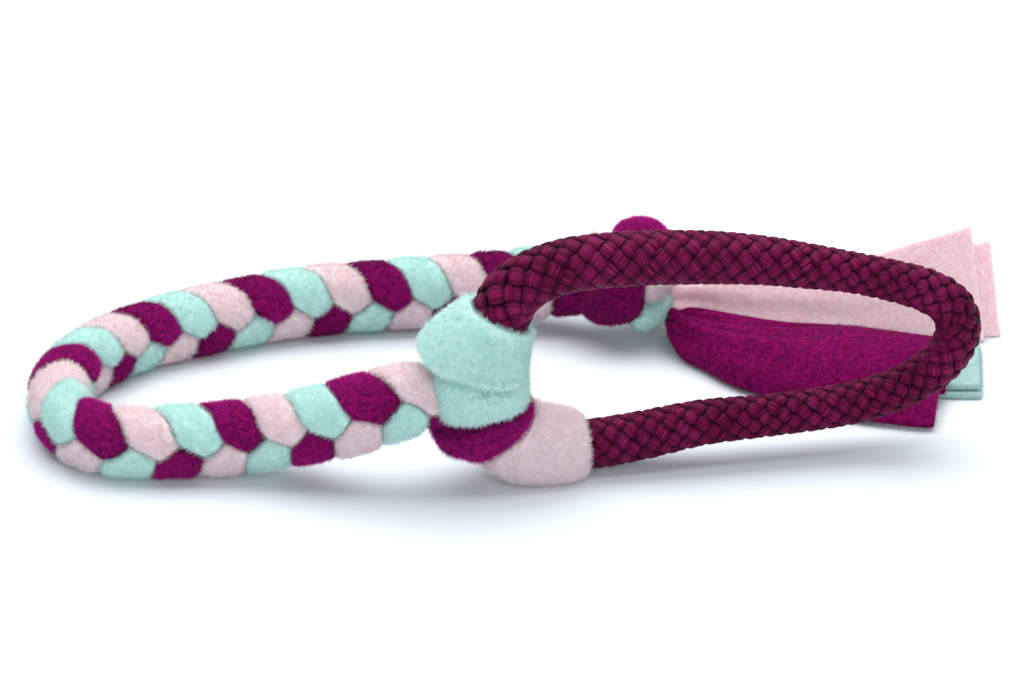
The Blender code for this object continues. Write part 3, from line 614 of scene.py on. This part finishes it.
def swollen(line, limits, rivals, seed, pinch):
    # each ring swells until it meets a neighbour half way, then is rounded and brushed uneven
    halfWide, halfDeep, radial, inside = limits
    first, second = carriedFrames(line)
    bend = np.gradient(tangentsOf(line), axis=0) / plait["ringSpacing"]
    run = runOf(line)
    angles = np.linspace(0.0, math.tau, plait["sides"], endpoint=False)
    outs = np.cos(angles)[None, :, None] * first[:, None] + np.sin(angles)[None, :, None] * second[:, None]
    outline = outlineReach(line, outs, inside)
    near = 4 * plait["strandRadius"]
    swell = np.empty(outs.shape[:2])
    for i, place in enumerate(line):
        others = np.vstack(rivals + [line[np.abs(run - run[i]) > near]])
        apart = place - others
        apart = apart[np.linalg.norm(apart, axis=1) < near]
        deepPart = (outs[i] @ radial[i]) ** 2
        reach = (deepPart / halfDeep[i] ** 2 + (1 - deepPart) / halfWide[i] ** 2) ** -0.5
        reach = (reach ** -plait["soften"] + outline[i] ** -plait["soften"]) ** (-1 / plait["soften"])
        squared = np.sum(apart ** 2, axis=1) - plait["gap"] ** 2
        closing = plait["gap"] - outs[i] @ apart.T
        halfWay = np.where(closing > tiny, squared / (2 * np.maximum(closing, tiny)), 1.0).min(axis=1)
        inward = outs[i] @ bend[i]
        curved = np.where(inward > tiny, plait["bendShare"] / np.maximum(inward, tiny), 1.0)
        hard = np.minimum(halfWay, curved)
        swell[i] = (reach ** -plait["soften"] + hard ** -plait["soften"]) ** (-1 / plait["soften"])
    swell = blurred(swell, plait["blur"])
    toPinch = ((line - knotCentre) @ knotAxis - knot["pinchAt"] * knot["length"]) / knot["pinchWide"]
    beside = np.linalg.norm(line - knotCentre, axis=1) < knot["length"]
    swell = swell * (1 - pinch * beside * np.exp(-toPinch ** 2))[:, None]
    toEnd = (run[-1] - run) / (knot["domeShare"] * knot["length"])
    swell = swell * np.sqrt(1 - np.clip(1 - toEnd, 0.0, 1.0) ** 2)[:, None]
    swell = np.maximum(swell, plait["thinnest"])
    points = line[:, None] + swell[:, :, None] * outs
    turnRate, runRate = plait["ridgeRates"]
    ridges = np.array([[noise.noise(Vector((turnRate * a, runRate * r, seed))) for a in angles]
                       for r in run])
    relief = unevenness(points, plait["reliefScale"], plait["reliefDepth"], seed)
    relief = relief + plait["ridgeDepth"] * ridges
    points = points + relief[:, :, None] * outs
    points[:, :, 2] = np.maximum(points[:, :, 2], floorLift)
    return points


print("strands")
colours = ["pink", "magenta", "mint"]
strandSizes = [(knot["core"], knot["core"]), (knot["halfWide"], knot["halfDeep"]),
               (knot["core"], knot["core"])]
strandLines = [strandLine(order) for order in range(3)]
for order, colour in enumerate(colours):
    line = strandLines[order]
    rivals = [other[::2] for i, other in enumerate(strandLines) if i != order]
    pinch = knot["pinchDeep"] if colour == "magenta" else 0.0
    limits = strandLimits(line, *strandSizes[order])
    points = swollen(line, limits, rivals, plait["seedStep"] * order + 1, pinch)
    piece = skin(colour + "Strand", points, roundAcross=True)
    settled(piece, fleece[colour])
    piles = [brush(piece, fleece[colour], plait["fuzzDensity"], order + 1 + coat * len(colours),
                   plait["fuzzSizes"][order], suffix) for coat, suffix in enumerate(("Pile", "TopPile"))]
    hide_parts(colour + "_strand")
    for part in (piece, *piles):
        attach(part, "braid")


# Rope handle

handle = dict(
    reach=0.1565, height=0.066, yawDegrees=10.0, neckToRope=0.0209, diameter=0.016,
    plaitTurns=8, carriers=7, yarnWide=0.00275, yarnDeep=0.0014, weave=0.0014, arch=1.1,
    sides=14, spacing=0.0006, flatPower=0.75, tallPower=0.6, wideShares=(0.82, 0.18),
    crestPower=1.2, coreShare=0.70, coreSides=12, coreSkip=3,
)
# round the loop: share of its reach, of its height and of the rope's diameter
handleShares = [
    (0.030, 0.890, 1.24), (0.049, 0.985, 1.22), (0.090, 1.068, 1.16), (0.155, 1.125, 1.12),
    (0.218, 1.140, 1.12), (0.320, 1.138, 1.12), (0.450, 1.115, 1.10), (0.570, 1.075, 1.02),
    (0.660, 1.028, 0.95), (0.770, 0.965, 0.86), (0.870, 0.890, 0.88), (0.930, 0.830, 0.92),
    (0.980, 0.740, 0.95), (1.000, 0.615, 0.95), (0.985, 0.490, 0.94), (0.945, 0.385, 0.92),
    (0.880, 0.300, 0.90), (0.795, 0.245, 0.90), (0.710, 0.222, 0.90), (0.585, 0.208, 0.90),
    (0.455, 0.200, 0.96), (0.328, 0.158, 1.02), (0.218, 0.135, 1.04), (0.122, 0.150, 1.02),
    (0.052, 0.220, 1.00), (0.012, 0.350, 1.00), (0.000, 0.490, 1.00), (0.000, 0.635, 1.00),
    (0.006, 0.762, 1.12),
]
handleYaw = math.radians(handle["yawDegrees"])
handleWay = np.array([math.cos(handleYaw), math.sin(handleYaw), 0.0])


def handleLine():
    points = [[*(neck + (handle["neckToRope"] + x * handle["reach"]) * handleWay
                 + z * handle["height"] * up), size * handle["diameter"]]
              for x, z, size in handleShares]
    line = smoothLine(points, steps=6, closed=True)
    return evenly(np.vstack([line, line[:1]]), handle["spacing"])[:-1]


def yarnPoints(line, carrier, way):
    # one yarn of the rope: a helix that weaves over and under those of the other hand, and its painted
    # shade, full colour on its crests and darker where it dives and on its underside
    size = line[:, 3]
    closed = np.vstack([line, line[:1]])
    run = runOf(closed)[:-1]
    total = runOf(closed)[-1]
    turn = math.tau * handle["plaitTurns"] * run / total
    side = np.cross(handleWay, up)
    heading = unit(np.roll(line[:, :3], -1, axis=0) - np.roll(line[:, :3], 1, axis=0))
    other = np.cross(heading, side)
    angle = math.tau * carrier / handle["carriers"] + way * turn
    beat = way * np.cos(handle["carriers"] * turn)
    lift = handle["weave"] * np.tanh(handle["arch"] * beat) / math.tanh(handle["arch"])
    radius = size / 2 - handle["yarnDeep"] - handle["weave"] + lift
    outward = np.cos(angle)[:, None] * side + np.sin(angle)[:, None] * other
    middle = line[:, :3] + radius[:, None] * outward
    ahead = unit(np.roll(middle, -1, axis=0) - np.roll(middle, 1, axis=0))
    across = unit(np.cross(ahead, outward))
    raised = np.cross(across, ahead)
    around = np.linspace(0.0, math.tau, handle["sides"], endpoint=False)
    flat = np.sign(np.cos(around)) * np.abs(np.cos(around)) ** handle["flatPower"]
    tall = np.sign(np.sin(around)) * np.abs(np.sin(around)) ** handle["tallPower"]
    always, onTop = handle["wideShares"]
    wide = handle["yarnWide"] * (always + onTop * beat) * size / handle["diameter"]
    points = (middle[:, None] + (flat[None, :] * wide[:, None])[:, :, None] * across[:, None]
              + (tall[None, :] * handle["yarnDeep"])[:, :, None] * raised[:, None])
    # painted shade: the yarn's colour falls to black on its underside and where it dives under the other
    # hand
    crest = np.clip(beat, 0, 1)[:, None] ** handle["crestPower"] * np.clip(np.sin(around), 0, 1)[None]
    return points, crest


print("rope")
ropeLine = handleLine()
ropeYarn = ropeFinish("burgundyYarn")
for way, name in ((1, "handleRopeRight"), (-1, "handleRopeLeft")):
    yarns = []
    for carrier in range(handle["carriers"]):
        points, crest = yarnPoints(ropeLine, carrier, way)
        yarns.append(skin("yarn", points, roundAcross=True, roundAlong=True, crest=crest))
    bpy.ops.object.select_all(action="DESELECT")
    for yarn in yarns:
        yarn.select_set(True)
    bpy.context.view_layer.objects.active = yarns[0]
    bpy.ops.object.join()
    rope = yarns[0]
    rope.name = name
    rope.data.materials.append(ropeYarn)
    if way > 0:
        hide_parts("rope_handle")
    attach(rope, "handle")

# a dark core that shows between the yarns; its near-black tones are painted shade for the gaps
coreAngles = np.linspace(0.0, math.tau, handle["coreSides"], endpoint=False)
coreSide = np.cross(handleWay, up)
coreHeading = unit(np.roll(ropeLine[:, :3], -1, axis=0) - np.roll(ropeLine[:, :3], 1, axis=0))
coreOther = np.cross(coreHeading, coreSide)
corePoints = ropeLine[:, None, :3] + handle["coreShare"] * ropeLine[:, None, 3:] / 2 * (
    np.cos(coreAngles)[None, :, None] * coreSide + np.sin(coreAngles)[None, :, None] * coreOther[:, None])
core = skin("handleCore", corePoints[::handle["coreSkip"]], roundAcross=True, roundAlong=True)
core.data.materials.append(ropeFinish("burgundyCore"))
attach(core, "handle")


# Folds round the rope

folds = dict(
    clearance=0.0003, sides=96, rings=84, edge=0.0022, square=0.16, seedShare=530,
    reliefs=((0.007, 0.0005, 0), (0.0028, 0.00018, 9)), ridge=0.0004, ridges=2.4, ridgeLean=1.1,
    crease=0.0036, creaseWidth=0.0019, creaseLips=(2.2, 0.8), flapShare=0.45, flapWide=1.4, flapAt=1.3,
    creaseAt=([-60, -20, 10, 45, 80], [0.66, 0.66, 0.63, 0.52, 0.40]),
    creaseFade=([-60, -20, 30, 70, 85, 100], [0.0, 0.7, 1.0, 1.2, 0.6, 0.0]),
    fuzzDensity=1.1e7, fuzzSize=1.12, fuzzSeed=11,
)
# length of rope, then thickness in mm: share of the length, at the front, outside, back and inside
foldRows = [
    ("mint", 0.0330, [
        (0.00, 1.9, 2.6, 2.2, 1.9), (0.12, 2.6, 4.4, 2.6, 2.6), (0.24, 3.2, 8.4, 3.2, 3.6),
        (0.35, 3.8, 12.4, 3.4, 4.2), (0.43, 4.2, 12.9, 3.6, 4.6), (0.50, 4.4, 10.2, 3.8, 4.8),
        (0.57, 4.6, 8.6, 3.8, 4.8), (0.68, 5.2, 10.2, 4.0, 4.9), (0.84, 5.6, 9.6, 4.0, 4.8),
        (1.00, 5.0, 7.8, 3.6, 4.4)]),
    ("magenta", 0.0110, [
        (0.00, 4.0, 11.0, 3.4, 4.0), (0.35, 4.4, 11.5, 3.8, 4.3), (0.70, 4.4, 8.0, 3.8, 4.3),
        (1.00, 4.2, 4.6, 3.6, 4.2)]),
    ("pink", 0.0290, [
        (0.00, 4.3, 4.4, 4.0, 4.3), (0.25, 5.0, 4.6, 4.4, 5.0), (0.50, 4.8, 4.2, 4.2, 4.8),
        (0.75, 4.2, 3.4, 3.8, 3.8), (0.90, 3.0, 2.4, 2.8, 2.4), (1.00, 1.6, 1.4, 1.6, 1.4)]),
]


def foldPoints(colour, start, length, table, seed):
    back = np.vstack([ropeLine[:1], ropeLine[:0:-1]])
    shares = np.linspace(0.0, 1.0, folds["rings"])
    line = along(back, start + folds["clearance"] / 2 + shares * (length - folds["clearance"]))
    places, sizes = line[:, :3], line[:, 3]
    heading = tangentsOf(places)
    front = np.cross(handleWay, up)[None] * np.ones((len(line), 1))
    front = unit(front - heading * np.sum(front * heading, axis=1, keepdims=True))
    outside = np.cross(heading, front)
    angles = np.linspace(0.0, math.tau, folds["sides"], endpoint=False)
    outs = (np.cos(angles)[None, :, None] * front[:, None]
            + np.sin(angles)[None, :, None] * outside[:, None])
    curve = smoothLine(table, steps=12)
    sides = np.stack([np.interp(shares, curve[:, 0], curve[:, k]) for k in (1, 2, 3, 4)]) / 1000
    weights = np.maximum(0.0, np.cos(angles[None] - np.radians([0, 90, 180, 270])[:, None])) ** 2
    thick = np.einsum("kr,ka->ra", sides, weights)
    thick = thick * (1 + folds["square"] * np.sin(2 * angles) ** 2)
    toEdge = np.minimum(shares, 1 - shares)[:, None] * length / folds["edge"]
    thick = thick * np.sqrt(1 - (1 - np.clip(toEdge, 0.0, 1.0)) ** 2)
    turn = np.degrees((angles + math.pi) % math.tau - math.pi)
    if colour == "mint":
        # one crease with a flap over it, which runs down to the front and fades there
        where = np.interp(turn, *folds["creaseAt"])
        fade = np.interp(turn, *folds["creaseFade"])
        away = (shares[:, None] - where[None]) * length / folds["creaseWidth"]
        above, below = folds["creaseLips"]
        away = np.where(away < 0, above * away, below * away)
        thick = thick - folds["crease"] * fade * np.exp(-away ** 2)
        flap = np.exp(-(away / folds["flapWide"] + folds["flapAt"]) ** 2)
        thick = thick + folds["flapShare"] * folds["crease"] * fade * flap
    if colour == "magenta":
        wave = math.tau * folds["ridges"] * shares[:, None] + folds["ridgeLean"] * np.sin(2 * angles)[None]
        thick = thick + folds["ridge"] * np.sin(wave)
    inside = sizes[:, None] / 2 + folds["clearance"]
    outer = places[:, None] + (inside + np.maximum(thick, 0.0))[:, :, None] * outs
    bumps = sum(unevenness(outer, scale, depth, seed + step) for scale, depth, step in folds["reliefs"])
    outer = outer + (bumps * np.clip(toEdge, 0, 1))[:, :, None] * outs
    outer[:, :, 2] = np.maximum(outer[:, :, 2], floorLift)
    # the side against the rope doesn't show, so every eighth ring is enough
    inner = places[:, None] + inside[:, :, None] * outs
    return np.concatenate([outer, inner[-4:3:-8]], axis=0)


print("folds")
start = 0.0
for colour, length, table in foldRows:
    points = foldPoints(colour, start, length, table, folds["seedShare"] * length)
    piece = skin(colour + "Fold", points, roundAcross=True, roundAlong=True)
    settled(piece, fleece[colour])
    pile = brush(piece, fleece[colour], folds["fuzzDensity"], folds["fuzzSeed"], folds["fuzzSize"])
    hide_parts(colour + "_fold")
    for part in (piece, pile):
        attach(part, "handle")
    start += length


# Tails

tails = dict(length=0.116, width=0.050, cloth=0.0024, gap=0.0006, clearance=0.0003, rings=60,
             points=40, ripple=0.0010, ripples=2.5, rippleFade=1.5, reliefScale=0.012,
             reliefDepth=0.0003, fuzzDensity=4.8e6, fuzzSize=0.75, fuzzSeed=21)
layer = tails["cloth"] + tails["gap"]
# share of the length, slant of the section, then its points: to the back and up, in shares of the width
tailShares = {
    "pink": [
        (0.00, 0.00, [(-0.10, 0.20), (-0.09, 0.28), (-0.05, 0.36), (0.00, 0.44), (0.06, 0.50)]),
        (0.10, 0.00, [(-0.02, 0.14), (-0.02, 0.24), (0.00, 0.34), (0.04, 0.44), (0.10, 0.52)]),
        (0.20, 0.00, [(0.00, 0.04), (0.03, 0.16), (0.07, 0.28), (0.11, 0.40), (0.16, 0.50)]),
        (0.38, 0.00, [(-0.02, 0.00), (0.03, 0.12), (0.08, 0.25), (0.14, 0.37), (0.20, 0.47)]),
        (0.58, 0.00, [(-0.09, 0.00), (-0.03, 0.13), (0.03, 0.26), (0.09, 0.39), (0.16, 0.51)]),
        (0.78, -0.05, [(-0.18, 0.00), (-0.10, 0.18), (-0.02, 0.35), (0.06, 0.51), (0.13, 0.66)]),
        (0.95, -0.14, [(-0.15, 0.00), (-0.07, 0.21), (0.00, 0.41), (0.07, 0.60), (0.13, 0.77)]),
    ],
    "mint": [
        (0.00, 0.00, [(-0.21, 0.05), (-0.16, 0.02), (-0.10, 0.01), (-0.04, 0.02), (0.01, 0.05)]),
        (0.15, 0.00, [(-0.38, 0.00), (-0.28, 0.00), (-0.18, 0.00), (-0.08, 0.00), (0.00, 0.01)]),
        (0.32, 0.00, [(-0.66, 0.00), (-0.50, 0.00), (-0.34, 0.00), (-0.20, 0.00), (-0.09, 0.00)]),
        (0.55, 0.02, [(-0.90, 0.00), (-0.72, 0.00), (-0.56, 0.00), (-0.40, 0.00), (-0.24, 0.00)]),
        (0.78, 0.06, [(-0.97, 0.00), (-0.80, 0.00), (-0.63, 0.00), (-0.46, 0.00), (-0.29, 0.00)]),
        (0.90, 0.10, [(-0.98, 0.00), (-0.81, 0.00), (-0.64, 0.00), (-0.46, 0.00), (-0.29, 0.00)]),
    ],
    "magenta": [
        (0.00, 0.00, [(-0.28, -0.06), (-0.22, 0.04), (-0.15, 0.05), (-0.08, 0.03), (-0.02, 0.04)]),
        (0.04, 0.00, [(-0.44, -0.16), (-0.41, -0.03), (-0.34, 0.06), (-0.26, -0.01), (-0.19, 0.03),
                      (-0.13, -0.02), (-0.06, 0.02)]),
        (0.10, 0.00, [(-0.60, -0.17), (-0.57, -0.03), (-0.50, 0.08), (-0.39, -0.01), (-0.29, 0.04),
                      (-0.20, -0.03), (-0.09, 0.02)]),
        (0.19, 0.00, [(-0.84, -0.17), (-0.79, -0.03), (-0.64, 0.09), (-0.50, 0.00), (-0.38, 0.04),
                      (-0.27, -0.03), (-0.15, 0.01)]),
        (0.34, 0.00, [(-1.08, -0.17), (-0.99, -0.02), (-0.80, 0.11), (-0.60, 0.05), (-0.46, 0.05),
                      (-0.35, -0.02), (-0.25, 0.00)]),
        (0.50, 0.04, [(-1.28, -0.17), (-1.16, -0.03), (-0.95, 0.10), (-0.68, 0.15), (-0.41, 0.04)]),
        (0.65, 0.12, [(-1.38, -0.17), (-1.22, -0.06), (-1.00, 0.03), (-0.78, 0.09), (-0.56, 0.07)]),
        (0.74, 0.18, [(-1.41, -0.17), (-1.22, -0.08), (-1.02, 0.00), (-0.83, 0.05), (-0.63, 0.07)]),
    ],
}
# layers beneath, layers away from the sections, width drawn back, width cut off, further end, flat cut
tailRows = [
    ("magenta", "Upper", 3, 0.0, 0.00, 0.00, 0.000, (0.050, 0.105)),
    ("magenta", "Lower", 3, -1.4, 0.42, 0.00, 0.022, (0.029, 0.105)),
    ("mint", "Lower", 0, 0.0, 0.00, 0.00, 0.000, (0.040, 0.105)),
    ("mint", "Upper", 0, 1.0, 0.04, 0.00, -0.006, (0.038, 0.105)),
    ("pink", "Near", None, 0.0, 0.00, 0.00, 0.000, (0.042, 0.110)),
    ("pink", "Far", None, -1.4, 0.00, 0.14, 0.055, (0.036, 0.112)),
]


def tailPoints(shares, layers, offset, drawn, short, further, seed):
    base = 0.0 if layers is None else tails["cloth"] / 2 + layers * layer
    rows = []
    for ahead, slant, points in shares:
        section = smoothLine(tails["width"] * np.array(points))
        run = runOf(section)
        reach = (ahead + (further if ahead == shares[-1][0] else 0.0)) * tails["length"] + slant * run
        wanted = np.linspace(drawn, 1.0 - short, tails["points"]) * run[-1]
        rows.append([np.interp(wanted, run, column) for column in (reach, *section.T)])
    stations = np.array(rows).transpose(0, 2, 1)
    lines = []
    for column in range(tails["points"]):
        line = smoothLine(stations[:, column])
        lines.append(along(line, np.linspace(0.0, runOf(line)[-1], tails["rings"])))
    surface = np.stack(lines, axis=1)
    facing = unit(np.cross(np.gradient(surface, axis=0), np.gradient(surface, axis=1)))
    # gathered in the knot, so it comes out in ripples that die away
    over = np.linspace(drawn, 1.0 - short, tails["points"])
    fade = np.linspace(1.0, 0.0, tails["rings"])[:, None] ** tails["rippleFade"]
    ripple = tails["ripple"] * fade * np.sin(math.tau * tails["ripples"] * over)[None]
    surface = surface + ripple[:, :, None] * facing
    start = np.array([knotExit + tails["clearance"], knotCentre[1], base])
    surface = surface + start + offset * layer * facing
    relief = unevenness(surface, tails["reliefScale"], tails["reliefDepth"], seed)
    surface = surface + relief[:, :, None] * facing
    lowest = tails["cloth"] / 2 + floorLift
    surface[:, :, 2] = np.maximum(surface[:, :, 2], lowest)
    surface[:, :, 0] = np.maximum(surface[:, :, 0], start[0])
    return surface


print("tails")
for index, (colour, which, *fit, flat) in enumerate(tailRows):
    surface = tailPoints(tailShares[colour], *fit, index + 0.5)
    piece = skin(colour + "Tail" + which, surface)
    wall = piece.modifiers.new("cloth", "SOLIDIFY")
    wall.thickness = tails["cloth"]
    wall.offset = 0.0
    wall.use_even_offset = False
    rounded = piece.modifiers.new("softEdge", "SUBSURF")
    rounded.levels = rounded.render_levels = 1
    settled(piece, fleece[colour + "Tail"])
    seed = tails["fuzzSeed"] + index
    pile = brush(piece, fleece[colour + "Tail"], tails["fuzzDensity"], seed, tails["fuzzSize"])
    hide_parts(colour + "_tail_" + which.lower())
    for part in (piece, pile):
        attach(part, colour + "_tails")

bpy.data.objects.remove(fibre)


# Camera, light and floor

print("camera, light and floor")
view = dict(elevation=28.0, distance=1.2, lens=126.5625, sensor=36.0, aim=(0.028892, 0.050169, 0.025))
tilt = math.radians(view["elevation"])
cameraData = bpy.data.cameras.new("photoView")
cameraData.lens = view["lens"]
cameraData.sensor_width = view["sensor"]
camera = bpy.data.objects.new("photoView", cameraData)
bpy.context.scene.collection.objects.link(camera)
forward = Vector((0.0, math.cos(tilt), -math.sin(tilt)))
camera.location = Vector(neck) + Vector(view["aim"]) - view["distance"] * forward
camera.rotation_euler = (math.pi / 2 - tilt, 0.0, 0.0)
bpy.context.scene.camera = camera


softBoxes = {
    "overhead": dict(place=(0.0, 0.35, 0.95), target=(0.0, 0.03, 0.0), size=(1.6, 1.2), power=22.5,
                     colour=(1.0, 0.985, 0.965)),
    "front": dict(place=(0.15, -1.2, 0.62), target=(0.02, 0.0, 0.03), size=(1.5, 0.8), power=10.0,
                  colour=(1.0, 0.98, 0.98)),
}
skyLook = dict(seen=(1, 1, 1, 1), seenStrength=1.0, lit=(0.78, 0.89, 1.0, 1), litStrength=0.32)
# the near tone is painted shade: darker and bluer than the far tone
floorLook = dict(size=3.0, near=(0.72, 0.775, 0.825, 1), far=(0.93, 0.94, 0.95, 1), nearAt=-0.02,
                 farAt=0.30, roughness=0.9, specular=0.1)


def softBox(name, place, target, size, power, colour):
    data = bpy.data.lights.new(name, "AREA")
    data.shape = "RECTANGLE"
    data.size, data.size_y = size
    data.energy = power
    data.color = colour
    lamp = bpy.data.objects.new(name, data)
    bpy.context.scene.collection.objects.link(lamp)
    lamp.location = place
    lamp.rotation_euler = (Vector(target) - Vector(place)).to_track_quat("-Z", "Y").to_euler()


def makeSky():
    # pale blue light on the object, plain white where the camera sees it
    world = bpy.data.worlds.new("studio")
    bpy.context.scene.world = world
    world.use_nodes = True
    tree = world.node_tree
    seen = addNode(tree, "ShaderNodeBackground")
    seen.inputs["Color"].default_value = skyLook["seen"]
    seen.inputs["Strength"].default_value = skyLook["seenStrength"]
    lit = tree.nodes["Background"]
    lit.inputs["Color"].default_value = skyLook["lit"]
    lit.inputs["Strength"].default_value = skyLook["litStrength"]
    path = addNode(tree, "ShaderNodeLightPath")
    mix = addNode(tree, "ShaderNodeMixShader")
    tree.links.new(path.outputs["Is Camera Ray"], mix.inputs[0])
    tree.links.new(lit.outputs[0], mix.inputs[1])
    tree.links.new(seen.outputs[0], mix.inputs[2])
    tree.links.new(mix.outputs[0], tree.nodes["World Output"].inputs["Surface"])


def makeFloor():
    # a plain floor, darker and bluer at the front and paler towards the back: painted shade for the broad
    # soft shadow round the object
    bm = bmesh.new()
    bmesh.ops.create_grid(bm, x_segments=1, y_segments=1, size=floorLook["size"])
    mesh = bpy.data.meshes.new("floor")
    bm.to_mesh(mesh)
    bm.free()
    floor = bpy.data.objects.new("floor", mesh)
    bpy.context.scene.collection.objects.link(floor)
    material = bpy.data.materials.new("paleFloor")
    material.use_nodes = True
    tree = material.node_tree
    shader = tree.nodes["Principled BSDF"]
    place = addNode(tree, "ShaderNodeTexCoord")
    depth = addNode(tree, "ShaderNodeSeparateXYZ")
    depthShare = addNode(tree, "ShaderNodeMapRange")
    depthShare.inputs["From Min"].default_value = floorLook["nearAt"]
    depthShare.inputs["From Max"].default_value = floorLook["farAt"]
    tone = addNode(tree, "ShaderNodeMix", data_type="RGBA")
    tone.inputs["A"].default_value = floorLook["near"]
    tone.inputs["B"].default_value = floorLook["far"]
    tree.links.new(place.outputs["Object"], depth.inputs[0])
    tree.links.new(depth.outputs["Y"], depthShare.inputs["Value"])
    tree.links.new(depthShare.outputs["Result"], tone.inputs["Factor"])
    tree.links.new(tone.outputs["Result"], shader.inputs["Base Color"])
    shader.inputs["Roughness"].default_value = floorLook["roughness"]
    shader.inputs["Specular IOR Level"].default_value = floorLook["specular"]
    mesh.materials.append(material)
    return floor


for name, settings in softBoxes.items():
    softBox(name, **settings)
makeSky()
makeFloor()

bpy.context.scene.view_settings.view_transform = "Standard"
